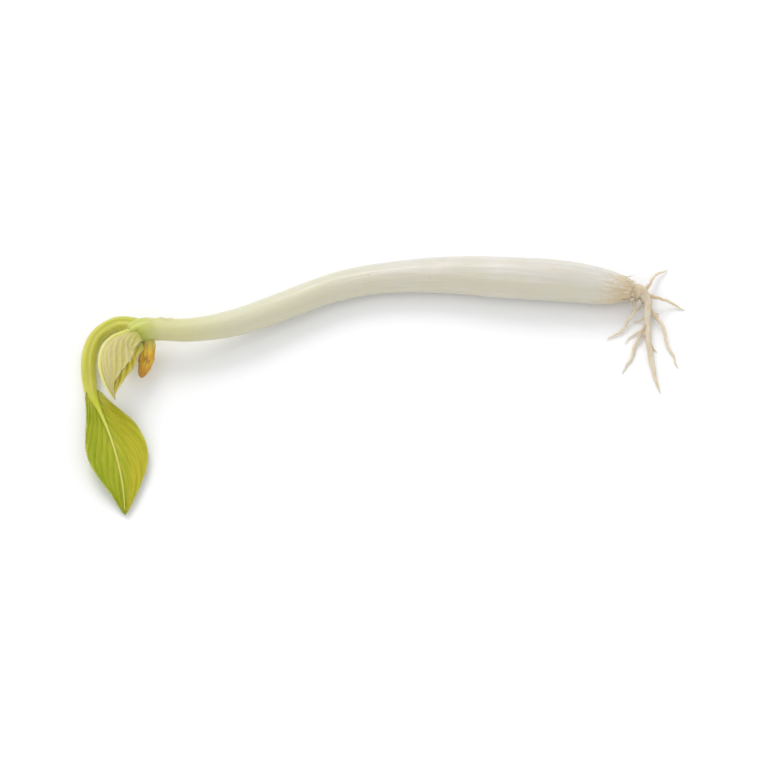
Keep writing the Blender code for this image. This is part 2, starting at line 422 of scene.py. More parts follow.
INNER_BLADE_COLORS = {
    "light": (0.62, 0.54, 0.26),
    "deep": (0.57, 0.51, 0.17),
    # Painted shade: deeper green laid between the side veins; also the colour of the fine net.
    "painted shade and net": (0.46, 0.43, 0.09),
    "lit": (0.74, 0.62, 0.02),
    "vein": (0.62, 0.55, 0.30),
    "foot": (0.46, 0.44, 0.10),
}


# Node trees


def plug(tree, socket, value):
    """Link another node's socket to this one, or set its plain value."""
    if isinstance(value, bpy.types.NodeSocket):
        tree.links.new(value, socket)
    elif value is not None:
        socket.default_value = value


def node(tree, kind, inputs=(), **settings):
    """Add a node with its settings and its inputs, given as (name, value) pairs."""
    made = tree.nodes.new(kind)
    for name, value in settings.items():
        setattr(made, name, value)
    for name, value in inputs:
        plug(tree, made.inputs[name], value)
    return made


def calc(tree, operation, first, second=None):
    """A Math node's result."""
    return node(tree, "ShaderNodeMath", [(0, first), (1, second)], operation=operation).outputs[0]


def weaker(tree, mask, share):
    """A mask at a share of its strength."""
    return calc(tree, "MULTIPLY", mask, share)


def remap(tree, value, low, high, to_low=0.0, to_high=1.0):
    """A value mapped smoothly from one range to another."""
    pairs = [("Value", value), ("From Min", low), ("From Max", high), ("To Min", to_low), ("To Max", to_high)]
    return node(tree, "ShaderNodeMapRange", pairs, interpolation_type="SMOOTHSTEP").outputs["Result"]


def tint(tree, amount, under, over):
    """One colour laid over another by an amount."""
    mix = node(tree, "ShaderNodeMix", data_type="RGBA", blend_type="MIX")
    plug(tree, mix.inputs[0], amount)
    for index, color in ((6, under), (7, over)):
        plug(tree, mix.inputs[index], color if isinstance(color, bpy.types.NodeSocket) else (*color, 1.0))
    return mix.outputs[2]


def new_group(name, inputs, outputs):
    """An empty node group with its sockets."""
    group = bpy.data.node_groups.new(name, "ShaderNodeTree")
    for label, kind, value in inputs:
        socket = group.interface.new_socket(name=label, in_out="INPUT", socket_type="NodeSocket" + kind)
        if value is not None:
            socket.default_value = value
    for label in outputs:
        group.interface.new_socket(name=label, in_out="OUTPUT", socket_type="NodeSocketFloat")
    return group, group.nodes.new("NodeGroupInput").outputs, group.nodes.new("NodeGroupOutput").inputs


def soft_mottle_group():
    """Cloudy patches, as a mask between two levels of smooth noise."""
    group, entry, leave = new_group(
        "Soft mottle",
        [("Vector", "Vector", None), ("Scale", "Float", 0.3), ("Low", "Float", 0.4), ("High", "Float", 0.6)],
        ["Mask"],
    )
    pairs = [("Vector", entry["Vector"]), ("Scale", entry["Scale"]), ("Detail", 4.0)]
    clouds = node(group, "ShaderNodeTexNoise", pairs)
    plug(group, leave["Mask"], remap(group, clouds.outputs[0], entry["Low"], entry["High"]))
    return group


def drawn_out(group, entry):
    """The entry's point with its run shortened, so that a pattern on it is drawn out along the limb."""
    scale = node(group, "ShaderNodeCombineXYZ", [("X", 1.0), ("Y", 1.0), ("Z", entry["Stretch"])]).outputs[0]
    pairs = [(0, entry["Vector"]), (1, scale)]
    return node(group, "ShaderNodeVectorMath", pairs, operation="MULTIPLY").outputs[0]


def long_strands_group():
    """Fine threads that run the length of a stem or root, closer round it than along it."""
    group, entry, leave = new_group(
        "Long strands",
        [("Vector", "Vector", None), ("Fineness", "Float", 2.0), ("Stretch", "Float", 0.05)],
        ["Mask"],
    )
    pairs = [
        ("Vector", drawn_out(group, entry)), ("Scale", entry["Fineness"]),
        ("Detail", 3.0), ("Roughness", 0.6), ("Distortion", 0.4),
    ]
    threads = node(group, "ShaderNodeTexNoise", pairs)
    plug(group, leave["Mask"], remap(group, threads.outputs[0], 0.38, 0.62))
    return group


def cell_grain_group():
    """The plump cells of a skin, longer than wide, as a height."""
    group, entry, leave = new_group(
        "Cell grain",
        [("Vector", "Vector", None), ("Fineness", "Float", 6.0), ("Stretch", "Float", 0.4)],
        ["Height"],
    )
    pairs = [("Vector", drawn_out(group, entry)), ("Scale", entry["Fineness"])]
    cells = node(group, "ShaderNodeTexVoronoi", pairs, feature="SMOOTH_F1")
    plug(group, leave["Height"], calc(group, "SUBTRACT", 1.0, cells.outputs["Distance"]))
    return group


def blade_veins_group():
    """Masks of a leaf's midrib, side veins and margin, from how far across and along the blade a point is."""
    group, entry, leave = new_group(
        "Blade veins",
        [
            ("Vector", "Vector", None), ("Count", "Float", 6.0),
            ("Slant", "Float", 0.7), ("Width", "Float", 0.1),
        ],
        ["Side veins", "Between", "Midrib", "Margin", "Net"],
    )
    parts = node(group, "ShaderNodeSeparateXYZ", [("Vector", entry["Vector"])]).outputs
    off = calc(group, "ABSOLUTE", parts["X"])
    wander = node(group, "ShaderNodeTexNoise", [("Vector", entry["Vector"]), ("Scale", 2.5), ("Detail", 2.0)])
    stray = calc(group, "MULTIPLY", calc(group, "SUBTRACT", wander.outputs[0], 0.5), 0.09)
    phase = calc(group, "SUBTRACT", parts["Y"], calc(group, "MULTIPLY", off, entry["Slant"]))
    turns = calc(group, "MULTIPLY", calc(group, "ADD", phase, stray), entry["Count"])
    away = calc(group, "ABSOLUTE", calc(group, "SUBTRACT", calc(group, "FRACT", turns), 0.5))
    side = calc(group, "SUBTRACT", 1.0, remap(group, away, 0.0, entry["Width"]))
    plug(group, leave["Side veins"], calc(group, "MULTIPLY", side, remap(group, off, 1.0, 0.75)))
    plug(group, leave["Between"], remap(group, away, 0.12, 0.42))
    plug(group, leave["Midrib"], remap(group, off, 0.09, 0.02))
    plug(group, leave["Margin"], remap(group, off, 0.90, 1.0))
    pairs = [("Vector", entry["Vector"]), ("Scale", NET_FINENESS)]
    net = node(group, "ShaderNodeTexVoronoi", pairs, feature="DISTANCE_TO_EDGE")
    plug(group, leave["Net"], remap(group, net.outputs["Distance"], 0.10, 0.0))
    return group


MOTTLE = soft_mottle_group()
STRANDS = long_strands_group()
GRAIN = cell_grain_group()
VEINS = blade_veins_group()


def use(tree, group, **inputs):
    """The outputs of a shared group, placed in a material with its own values."""
    placed = tree.nodes.new("ShaderNodeGroup")
    placed.node_tree = group
    for name, value in inputs.items():
        plug(tree, placed.inputs[name], value)
    return placed.outputs


def attribute(tree, name):
    """A point's attribute as a vector."""
    return node(tree, "ShaderNodeAttribute", attribute_type="GEOMETRY", attribute_name=name).outputs["Vector"]


def amount(tree, name):
    """A point's attribute as a number."""
    return node(tree, "ShaderNodeAttribute", attribute_type="GEOMETRY", attribute_name=name).outputs["Fac"]


def bump(tree, layers):
    """A normal from several heights, each with its depth in millimetres."""
    normal = None
    for height, depth in layers:
        made = node(tree, "ShaderNodeBump", [("Height", height), ("Distance", depth * MM), ("Strength", 1.0)])
        plug(tree, made.inputs["Normal"], normal)
        normal = made.outputs["Normal"]
    return normal


def tissue(name, flesh=0.0, depth=0.5, bleed=(1.0, 0.75, 0.45), shine=0.35, coat=0.0, coat_roughness=0.15):
    """A new material and its sockets: how much light enters the flesh, how deep, and how wet the skin is."""
    material = bpy.data.materials.new(name)
    material.use_nodes = True
    shader = material.node_tree.nodes["Principled BSDF"]
    shader.inputs["Subsurface Weight"].default_value = flesh
    shader.inputs["Subsurface Radius"].default_value = bleed
    shader.inputs["Subsurface Scale"].default_value = depth * MM
    shader.inputs["Specular IOR Level"].default_value = shine
    shader.inputs["Coat Weight"].default_value = coat
    shader.inputs["Coat Roughness"].default_value = coat_roughness
    return material, material.node_tree, shader.inputs


def stem_flesh_material():
    """Moist white flesh: threads under its skin, green towards the neck, tan and flecked at the collar,
    painted shade along its front, lower side.
    """
    material, tree, skin = tissue("stem_flesh", flesh=0.6, depth=1.2, coat=0.3, coat_roughness=0.24)
    grown = attribute(tree, "grown")
    parts = node(tree, "ShaderNodeSeparateXYZ", [("Vector", grown)]).outputs
    off, run = parts["X"], parts["Z"]
    threads = use(tree, STRANDS, Vector=grown, Fineness=3.2, Stretch=0.035)["Mask"]
    bands = use(tree, STRANDS, Vector=grown, Fineness=0.9, Stretch=0.06)["Mask"]
    clouds = use(tree, MOTTLE, Vector=grown, Scale=0.3, Low=0.42, High=0.66)["Mask"]
    ragged = use(tree, MOTTLE, Vector=grown, Scale=1.6, Low=0.3, High=0.7)["Mask"]
    flecks = use(tree, MOTTLE, Vector=grown, Scale=1.7, Low=0.69, High=0.75)["Mask"]
    color = tint(tree, weaker(tree, threads, 0.7), STEM_COLORS["flesh"], STEM_COLORS["threads"])
    color = tint(tree, weaker(tree, bands, 0.65), color, STEM_COLORS["bands"])
    color = tint(tree, weaker(tree, clouds, 0.45), color, STEM_COLORS["clouds"])
    color = tint(tree, weaker(tree, flecks, 0.4), color, STEM_COLORS["flecks"])
    color = tint(tree, remap(tree, run, 18.0, 38.0, 0.0, 0.8), color, STEM_COLORS["upper stem"])
    # Painted shade: the stem's front, lower side (towards -Y) is tinted darker and yellower.
    color = tint(tree, remap(tree, off, 0.4, -1.6, 0.0, 0.45), color, STEM_COLORS["shaded side"])
    color = tint(tree, remap(tree, run, 40.0, NODE_RUN), color, STEM_COLORS["neck"])
    green = tint(tree, threads, STEM_COLORS["shoot"], STEM_COLORS["shoot threads"])
    color = tint(tree, remap(tree, run, NODE_RUN - 0.6, NODE_RUN + 2.2), color, green)
    torn = calc(tree, "SUBTRACT", run, weaker(tree, threads, 1.5))
    torn = calc(tree, "SUBTRACT", torn, weaker(tree, ragged, 0.8))
    torn = calc(tree, "ADD", torn, weaker(tree, off, 0.5))
    color = tint(tree, remap(tree, torn, 2.4, -0.4, 0.0, 0.85), color, STEM_COLORS["collar"])
    color = tint(tree, weaker(tree, amount(tree, "mark"), 0.85), color, STEM_COLORS["creases"])
    plug(tree, skin["Base Color"], color)
    plug(tree, skin["Roughness"], remap(tree, clouds, 0.0, 1.0, 0.30, 0.44))
    grain = use(tree, GRAIN, Vector=grown, Fineness=5.0, Stretch=0.3)["Height"]
    plug(tree, skin["Normal"], bump(tree, [(threads, 0.018), (grain, 0.010)]))
    return material


def green_shoot_material():
    """The end bud's skin: yellow green, with deeper green threads."""
    material, tree, skin = tissue(
        "green_shoot", flesh=0.3, depth=0.4, bleed=(0.8, 1.0, 0.3), shine=0.3, coat=0.12,
    )
    grown = attribute(tree, "grown")
    threads = use(tree, STRANDS, Vector=grown, Fineness=4.0, Stretch=0.1)["Mask"]
    clouds = use(tree, MOTTLE, Vector=grown, Scale=1.5, Low=0.4, High=0.65)["Mask"]
    color = tint(tree, weaker(tree, threads, 0.6), BUD_COLORS["skin"], BUD_COLORS["threads"])
    color = tint(tree, weaker(tree, clouds, 0.5), color, BUD_COLORS["clouds"])
    plug(tree, skin["Base Color"], color)
    plug(tree, skin["Roughness"], remap(tree, threads, 0.0, 1.0, 0.36, 0.48))
    plug(tree, skin["Normal"], bump(tree, [(threads, 0.02)]))
    return material


def leaf_stalk_material(name, colors, midrib_run):
    """A stalk and midrib: green threads on a paler ground, then the blade's green, then the midrib's tint."""
    material, tree, skin = tissue(name, flesh=0.35, depth=0.7, bleed=(0.8, 1.0, 0.3), shine=0.25, coat=0.1)
    grown = attribute(tree, "grown")
    run = node(tree, "ShaderNodeSeparateXYZ", [("Vector", grown)]).outputs["Z"]
    threads = use(tree, STRANDS, Vector=grown, Fineness=3.6, Stretch=0.06)["Mask"]
    clouds = use(tree, MOTTLE, Vector=grown, Scale=0.8, Low=0.38, High=0.62)["Mask"]
    color = tint(tree, weaker(tree, threads, 0.75), colors["skin"], colors["threads"])
    color = tint(tree, weaker(tree, clouds, 0.45), color, colors["clouds"])
    color = tint(tree, remap(tree, run, midrib_run - 2.0, midrib_run), color, colors["blade base"])
    color = tint(tree, remap(tree, run, midrib_run, midrib_run + 3.0), color, colors["midrib"])
    plug(tree, skin["Base Color"], color)
    plug(tree, skin["Roughness"], remap(tree, clouds, 0.0, 1.0, 0.38, 0.48))
    grain = use(tree, GRAIN, Vector=grown, Fineness=7.0, Stretch=0.3)["Height"]
    plug(tree, skin["Normal"], bump(tree, [(threads, 0.022), (grain, 0.01)]))
    return material


def leaf_blade_material(name, colors, count, slant, flesh):
    """A young blade: pale veins and margin, painted shade in deeper green between them, one half painted
    lighter and yellower as if lit, and a fine net.
    """
    material, tree, skin = tissue(name, flesh=flesh, depth=0.2, bleed=(0.6, 1.0, 0.2), shine=0.2, coat=0.04)
    blade = attribute(tree, "blade")
    veins = use(tree, VEINS, Vector=blade, Count=count, Slant=slant, Width=0.12)
    clouds = use(tree, MOTTLE, Vector=blade, Scale=2.6, Low=0.36, High=0.62)["Mask"]
    parts = node(tree, "ShaderNodeSeparateXYZ", [("Vector", blade)]).outputs
    color = tint(tree, clouds, colors["deep"], colors["light"])
    # Painted shade: deeper green between the side veins, as the shade of the pleats.
    color = tint(tree, weaker(tree, veins["Between"], 0.5), color, colors["painted shade and net"])
    color = tint(tree, weaker(tree, veins["Net"], 0.2), color, colors["painted shade and net"])
    # Painted light: the half of the blade with negative across is tinted lighter and yellower, as if lit.
    color = tint(tree, remap(tree, parts["X"], 0.05, -0.5, 0.0, 0.7), color, colors["lit"])
    color = tint(tree, weaker(tree, veins["Side veins"], 0.45), color, colors["vein"])
    color = tint(tree, weaker(tree, veins["Midrib"], 0.8), color, colors["vein"])
    color = tint(tree, weaker(tree, veins["Margin"], 0.6), color, colors["vein"])
    # The blade's foot blends into its stalk's tone; the outer leaf's foot colour is also lightened, as
    # painted light against the stalk's shade.
    color = tint(tree, remap(tree, parts["Y"], 0.22, 0.04), color, colors["foot"])
    plug(tree, skin["Base Color"], color)
    plug(tree, skin["Roughness"], remap(tree, veins["Net"], 0.0, 1.0, 0.45, 0.58))
    heights = [(veins["Side veins"], 0.02), (veins["Net"], 0.012), (clouds, 0.015)]
    plug(tree, skin["Normal"], bump(tree, heights))
    return material


def root_skin_material():
    """Thin tan skin over pale flesh, browner at the collar and where it is creased."""
    material, tree, skin = tissue(
        "root_skin", flesh=0.45, depth=0.6, shine=0.4, coat=0.25, coat_roughness=0.2,
    )
    grown = attribute(tree, "grown")
    threads = use(tree, STRANDS, Vector=grown, Fineness=4.5, Stretch=0.12)["Mask"]
    clouds = use(tree, MOTTLE, Vector=grown, Scale=0.9, Low=0.4, High=0.62)["Mask"]
    color = tint(tree, weaker(tree, threads, 0.6), ROOT_COLORS["skin"], ROOT_COLORS["threads"])
    color = tint(tree, weaker(tree, clouds, 0.6), color, ROOT_COLORS["clouds"])
    color = tint(tree, amount(tree, "mark"), color, ROOT_COLORS["creases"])
    plug(tree, skin["Base Color"], color)
    plug(tree, skin["Roughness"], remap(tree, threads, 0.0, 1.0, 0.40, 0.58))
    grain = use(tree, GRAIN, Vector=grown, Fineness=8.0, Stretch=0.5)["Height"]
    plug(tree, skin["Normal"], bump(tree, [(threads, 0.03), (grain, 0.012)]))
    return material


def torn_skin_material():
    """Paper-thin dry skin, straw to tan."""
    material, tree, skin = tissue("torn_skin", shine=0.3)
    grown = attribute(tree, "grown")
    threads = use(tree, STRANDS, Vector=grown, Fineness=1.6, Stretch=0.3)["Mask"]
    clouds = use(tree, MOTTLE, Vector=grown, Scale=0.35, Low=0.4, High=0.6)["Mask"]
    color = tint(tree, threads, SHRED_COLORS["straw"], SHRED_COLORS["tan"])
    color = tint(tree, weaker(tree, clouds, 0.6), color, SHRED_COLORS["bleached"])
    plug(tree, skin["Base Color"], color)
    plug(tree, skin["Roughness"], remap(tree, threads, 0.0, 1.0, 0.45, 0.65))
    plug(tree, skin["Normal"], bump(tree, [(threads, 0.015)]))
    return material


def withered_rust_material():
    """Dried tissue: bright ochre, rust in patches, brown in its creases and at its tip."""
    material, tree, skin = tissue("withered_rust", flesh=0.3, depth=0.5, bleed=(1.0, 0.5, 0.2), shine=0.3)
    grown = attribute(tree, "grown")
    run = node(tree, "ShaderNodeSeparateXYZ", [("Vector", grown)]).outputs["Z"]
    threads = use(tree, STRANDS, Vector=grown, Fineness=3.2, Stretch=0.5)["Mask"]
    clouds = use(tree, MOTTLE, Vector=grown, Scale=1.1, Low=0.4, High=0.6)["Mask"]
    color = tint(tree, weaker(tree, clouds, 0.8), STUB_COLORS["ochre"], STUB_COLORS["rust"])
    color = tint(tree, remap(tree, run, 1.3, 0.2), color, STUB_COLORS["base"])
    color = tint(tree, remap(tree, run, 2.8, 4.2, 0.0, 0.7), color, STUB_COLORS["tip"])
    color = tint(tree, weaker(tree, amount(tree, "mark"), 0.7), color, STUB_COLORS["creases"])
    plug(tree, skin["Base Color"], color)
    plug(tree, skin["Roughness"], remap(tree, threads, 0.0, 1.0, 0.48, 0.7))
    plug(tree, skin["Normal"], bump(tree, [(threads, 0.04), (clouds, 0.02)]))
    return material


def fine_hair_material():
    """Clear, pale hairs."""
    material, tree, skin = tissue("fine_hair", flesh=0.2, depth=0.2)
    place = node(tree, "ShaderNodeTexCoord").outputs["Object"]
    clouds = use(tree, MOTTLE, Vector=place, Scale=900.0, Low=0.4, High=0.6)["Mask"]
    plug(tree, skin["Base Color"], tint(tree, clouds, HAIR_COLORS["clear"], HAIR_COLORS["yellow"]))
    plug(tree, skin["Roughness"], remap(tree, clouds, 0.0, 1.0, 0.3, 0.5))
    return material


# White stem


SCAR_RUN = NODE_RUN - 0.7
SCAR_ANGLE = math.radians(118)


def stem_place(angle, share):
    """The skin of stem and shoot: soft lumps, creases at the collar, a scar at the node, ridges above it."""
    centre, _, side, above, radius, run = STEM.at(share)
    across, down = math.sin(angle), math.cos(angle)
    shoot = min(1.0, max(0.0, (run - NODE_RUN) / 1.5))
    width = 1 + 0.028 * waver(across * 0.9, down * 0.9, run * 0.16)
    width += 0.014 * waver(across * 2.1 + 7, down * 2.1, run * 0.42)
    width += 0.006 * math.sin(5 * angle + 0.11 * run + 2 * waver(3, 5, run * 0.07))
    width += 0.02 * shoot * math.cos(7 * angle + 0.3 * run)
    collar = bell(run, 2.4)
    width -= 0.10 * collar * abs(waver(across * 4.2, down * 4.2 + 3, run * 0.5))
    width += 0.03 * bell(NODE_RUN - 0.1 - run, 0.35) - 0.015 * bell(NODE_RUN + 0.5 - run, 0.3)
    turn_away = (angle - SCAR_ANGLE) * radius
    away = math.hypot(turn_away, (run - SCAR_RUN) * 0.8)
    lift = 0.08 * bell(away - 0.42, 0.15) - 0.05 * bell(away, 0.3)
    width *= dome(run, 0.55) * dome(STEM.length - run, 0.5)
    outward = side * across - above * down
    point = centre + outward * (radius * width + lift * dome(run, 0.5))
    scar = bell(away, 0.42)
    return point, (radius * across, radius * down, run), scar


def make_stem():
    """The fleshy stem and the short shoot above it, which grew as one."""
    shape = rolled_skin(STEM_GRID, stem_place)
    return mesh_object("white_stem", shape, stem_flesh_material(), "stem_flesh", "hypocotyl", "epicotyl")


# Root end


def root_place(limb, wrinkle, wander, seed):
    """The skin of a root: creased, wavering in width, wandering to the sides, and pointed."""

    def place(angle, share):
        centre, _, side, above, radius, run = limb.at(share)
        across, down = math.sin(angle), math.cos(angle)
        creases = waver(across * 2.6 + seed, down * 2.6, run * 0.9)
        width = 1 + 0.10 * waver(seed, across * 0.6, run * 1.3) - wrinkle * abs(creases)
        width *= dome(run, 0.15) * dome(limb.length - run, 0.5)
        point = centre + (side * across - above * down) * (radius * width)
        sway = waver(seed + 4, 2, run * 0.6) + 0.4 * waver(seed + 6, 2, run * 1.7)
        point += (side * sway + above * (0.5 * waver(seed, 9, run * 0.7))) * (wander * min(1.0, run))
        collar = bell(run, 1.0) * (0.4 + 0.6 * abs(creases))
        return point, (radius * across, radius * down, run), collar

    return place


def make_roots(skin):
    """The taproot and its side rootlets."""
    shape = rolled_skin(TAPROOT_GRID, root_place(Limb(TAPROOT_STATIONS), 0.16, 0.14, 1.0))
    mesh_object("taproot", shape, skin, "root_skin", "root")
    for number, stations in enumerate(ROOTLET_STATIONS, start=1):
        shape = rolled_skin(ROOTLET_GRID, root_place(Limb(stations), 0.14, 0.32, 3.7 * number))
        mesh_object(f"rootlet_{number}", shape, skin, "root_skin", "root")


def make_fine_rootlets(skin):
    """Thread-thin rootlets that leave the taproot sideways and sink to the surface."""
    random.seed(7)
    taproot = Limb(TAPROOT_STATIONS)
    for number in range(FINE_ROOTLETS):
        centre, forward, side, _, _, _ = taproot.at(0.16 + 0.09 * number)
        outward = side * random.choice((-1, 1)) * random.uniform(0.7, 1) + forward * random.uniform(0.2, 1.0)
        outward.z = 0
        bend = outward.orthogonal().cross(outward).normalized() * random.uniform(-0.6, 0.6)
        reach = random.uniform(1.2, 3.2)
        stations = []
        for step, thickness in enumerate((0.10, 0.085, 0.07, 0.035)):
            share = step / 3
            spot = centre + outward.normalized() * reach * share + bend * reach * share * share
            spot.z = 0.09 + (centre.z - 0.09) * (1 - share) ** 2
            stations.append((*spot, thickness))
        shape = rolled_skin(FINE_ROOTLET_GRID, root_place(Limb(stations), 0.1, 0.2, 2.3 * number))
        mesh_object(f"fine_rootlet_{number + 1}", shape, skin, "root_skin", "root")


def make_root_hairs(material, limbs):
    """Short pale hairs on the younger part of each root."""
    random.seed(11)
    shape = bmesh.new()
    for limb in limbs:
        for _ in range(int(ROOT_HAIRS_PER_MM * limb.length)):
            centre, forward, side, above, radius, _ = limb.at(random.triangular(0.35, 0.97, 0.85))
            angle = random.uniform(0, 2 * math.pi)
            outward = side * math.sin(angle) + above * math.cos(angle)
            root = centre + outward * radius * 0.9
            lean = (outward + forward * random.uniform(-0.3, 0.7)).normalized()
            if (root + lean * 0.5).z > 0.05:
                add_spike(shape, root, lean, random.uniform(0.12, 0.38), ROOT_HAIR_RADIUS)
    return mesh_object("root_hairs", shape, material, "root_skin", "root")


def make_collar_shreds(skin):
    """Thin shreds of torn skin that curl off round the root collar."""
    random.seed(5)
    shape = bmesh.new()
    grown = shape.verts.layers.float_vector.new("grown")
    for number in range(SHREDS):
        angle = 2 * math.pi * (number + random.uniform(-0.4, 0.4)) / SHREDS
        start_run = random.uniform(0.5, 2.2)
        length = random.uniform(0.7, 2.1)
        half_width = random.uniform(0.05, 0.19)
        curl = random.uniform(0.12, 0.7)
        drift = random.uniform(-0.35, 0.35)
        made = flat_grid(shape, SHRED_GRID)
        raised = raised_copy(shape, list({face for vert in made for face in vert.link_faces}))
        for vert in made + raised:
            across, along = vert.co.x, grid_share(vert.co.y)
            run = start_run - length * along
            centre, forward, side, above, radius, _ = STEM.at(max(run, 0.0) / STEM.length)
            narrowing = (1 - along ** 3) * (0.75 + 0.35 * waver(number, along * 4, 2))
            turned = angle + (across * half_width * narrowing + drift * along) / max(radius, 0.7)
            outward = side * math.sin(turned) - above * math.cos(turned)
            lift = -0.01 + curl * along * along + 0.04 * waver(across * narrowing + number, along * 5, 1)
            lift += SHRED_THICKNESS if vert in raised else 0.0
            point = centre + outward * (max(radius, 0.8) * 0.99 + lift) - forward * min(run, 0.0)
            point.z = max(point.z, LOWEST_MM)
            vert[grown] = (3 * across + number, 0, 2 * run)
            vert.co = world(point)
    bmesh.ops.remove_doubles(shape, verts=shape.verts[:], dist=MERGE_METRES)
    bmesh.ops.recalc_face_normals(shape, faces=shape.faces[:])
    return mesh_object("collar_shreds", shape, skin, "root_skin", "hypocotyl")


# Shoot


def bud_place(angle, share):
    """The end bud's skin: pleats that run to its point."""
    centre, _, side, above, radius, run = BUD.at(share)
    across, down = math.sin(angle), math.cos(angle)
    width = 1 + 0.13 * math.cos(5 * angle + 0.25 * run + 1)
    width *= dome(run, 0.1) * dome(BUD.length - run, 0.35)
    point = centre + (side * across - above * down) * (radius * width)
    return point, (radius * across, radius * down, run), 0.0


def petiole_place(limb, blade_start):
    """The skin of a leaf's stalk: grooved on its upper side, and plain where it runs on as the midrib."""

    def place(angle, share):
        centre, _, side, above, radius, run = limb.at(share)
        across, down = math.sin(angle), math.cos(angle)
        stalk = 1 - min(1.0, max(0.0, (run - blade_start) / 1.5))
        upper = (angle - math.pi) * radius
        width = 1 - 0.16 * stalk * bell(upper, 0.28) + 0.03 * stalk * math.cos(7 * angle + 0.2 * run)
        width += 0.02 * waver(across + 5, down, run * 0.5)
        width *= dome(run, 0.2) * dome(limb.length - run, 0.4)
        flatness = 0.6 + 0.4 * stalk
        point = centre + (side * across - above * down * flatness) * (radius * width)
        return point, (radius * across, radius * down, run), 0.0

    return place


def stub_place(angle, share):
    """The withered seed leaf's base: deeply wrinkled along its length, shrunken at the tip."""
    centre, _, side, above, radius, run = STUB.at(share)
    across, down = math.sin(angle), math.cos(angle)
    folds = waver(across * 2.2, down * 2.2, run * 0.45)
    width = 1.05 - 0.34 * min(1.0, run / 1.2) * abs(folds) + 0.10 * waver(across * 4 + 5, down * 4, run * 2.2)
    width *= dome(run, 0.2) * dome(STUB.length - run, 0.35)
    point = centre + (side * across - above * down * 0.75) * (radius * width)
    return point, (radius * across, radius * down, run), max(0.0, 1 - 5 * abs(folds)) * min(1.0, run)


BUD = Limb(BUD_STATIONS)
STUB = Limb(STUB_STATIONS)
OUTER_STALK = Limb(OUTER_PETIOLE_STATIONS)
INNER_STALK = Limb(INNER_PETIOLE_STATIONS)
OUTER_MIDRIB = Limb(OUTER_MIDRIB_STATIONS)
INNER_MIDRIB = Limb(INNER_MIDRIB_STATIONS)
OUTER_BLADE_RUN = 8.5
OUTER_MIDRIB_RUN = 12.6
INNER_BLADE_RUN = 1.6
INNER_MIDRIB_RUN = 1.8


def make_end_bud():
    """The end bud under the leaves, whose tiny folded leaflets show as pleats."""
    shape = rolled_skin(BUD_GRID, bud_place)
    return mesh_object("end_bud", shape, green_shoot_material(), "green_shoot", "epicotyl")


def leaf_outline(along, half_width, base_width, taper, foot):
    """Half the width of a leaf that opens like a wedge, is widest at its middle and narrows to a point."""
    swell = max(0.0, math.sin(math.pi * along ** 1.12))
    rounding = 0.35 + 0.65 * math.sin(min(1.0, along / foot) * math.pi / 2)
    tip = 1 - 0.75 * max(0.0, along - 0.97) / 0.03
    return (base_width * (1 - along) ** 2 + 0.16 + half_width * swell ** taper) * rounding * tip


def vein_relief(across, along, veins, slant, pleat, crinkle):
    """How far a blade's upper side stands out: more between its side veins, less along them, and crinkled."""
    phase = veins * (along - slant * abs(across))
    away = abs(phase % 1 - 0.5)
    bulge = pleat * math.cos(2 * math.pi * phase) - VEIN_HEIGHT * bell(away, 0.1)
    bumps = crinkle * (waver(across * 5, along * 9, veins) + 0.5 * waver(across * 11, along * 20, veins))
    return min(1.0, 3 * abs(across)) * (math.sin(math.pi * along) * bulge + bumps)


def outer_surface(across, along):
    """The outer leaf's blade: a shallow trough along the midrib, which lies lowest and opens upwards."""
    middle, _, side, above, _, _ = OUTER_MIDRIB.at(along)
    half = leaf_outline(along, **OUTER_FORM) * (1 + 0.02 * waver(across, along * 14, 3))
    opening = OUTER_LEFT_DEGREES if across > 0 else OUTER_RIGHT_DEGREES
    tilt = math.radians(opening * (1 - 0.45 * along) * min(1.0, 0.4 + 3 * along))
    reach = across * half
    rise = abs(reach) * math.sin(tilt) - 0.035 * reach * reach
    flutter = 0.16 * across * across * math.sin(9 * along + 1.3 * across)
    height = rise + flutter + vein_relief(across, along, OUTER_VEINS, OUTER_VEIN_SLANT, OUTER_PLEAT, 0.04)
    lean = math.copysign(math.sin(tilt), across) * min(1.0, 6 * abs(across))
    return middle + side * (reach * math.cos(tilt)) + above * height, (above - side * lean).normalized()


def inner_surface(across, along):
    """The inner leaf's blade, folded round its midrib: its lower side out, its upper half like a hood."""
    middle, forward, _, _, _, _ = INNER_MIDRIB.at(along)
    inward = (UP.cross(forward) + INNER_HOLLOW_SIDE).normalized()
    half = leaf_outline(along, **INNER_FORM) * (1 + 0.03 * waver(across, along * 11, 8))
    reach = abs(across) * half
    upper = across > 0
    radius = INNER_UPPER_RADIUS if upper else INNER_LOWER_RADIUS
    tilt = math.radians(INNER_UPPER_DEGREES if upper else INNER_LOWER_DEGREES)
    bend_length = radius * (math.pi / 2 - tilt)
    angle = min(reach, bend_length) / radius
    straight = max(0.0, reach - bend_length)
    half_side = UP if upper else -UP
    normal = half_side * math.sin(angle) - inward * math.cos(angle)
    inner = radius * (1 - math.cos(angle)) + straight * math.cos(tilt)
    height = radius * math.sin(angle) + straight * math.sin(tilt)
    relief = vein_relief(across, along, INNER_VEINS, INNER_VEIN_SLANT, INNER_PLEAT, 0.05)
    return middle + inward * inner + half_side * height - normal * relief, normal


def make_withered_stub():
    """What is left of the one seed leaf still at the node."""
    shape = rolled_skin(STUB_GRID, stub_place)
    return mesh_object("withered_stub", shape, withered_rust_material(), "withered_rust", "cotyledon_stub")


def make_leaf_stalk(label, limb, blade_start, skin, slot, node_name):
    """A leaf's stalk, which runs on as its midrib."""
    shape = rolled_skin(STALK_GRID, petiole_place(limb, blade_start))
    return mesh_object(label + "_stalk", shape, skin, slot, node_name)


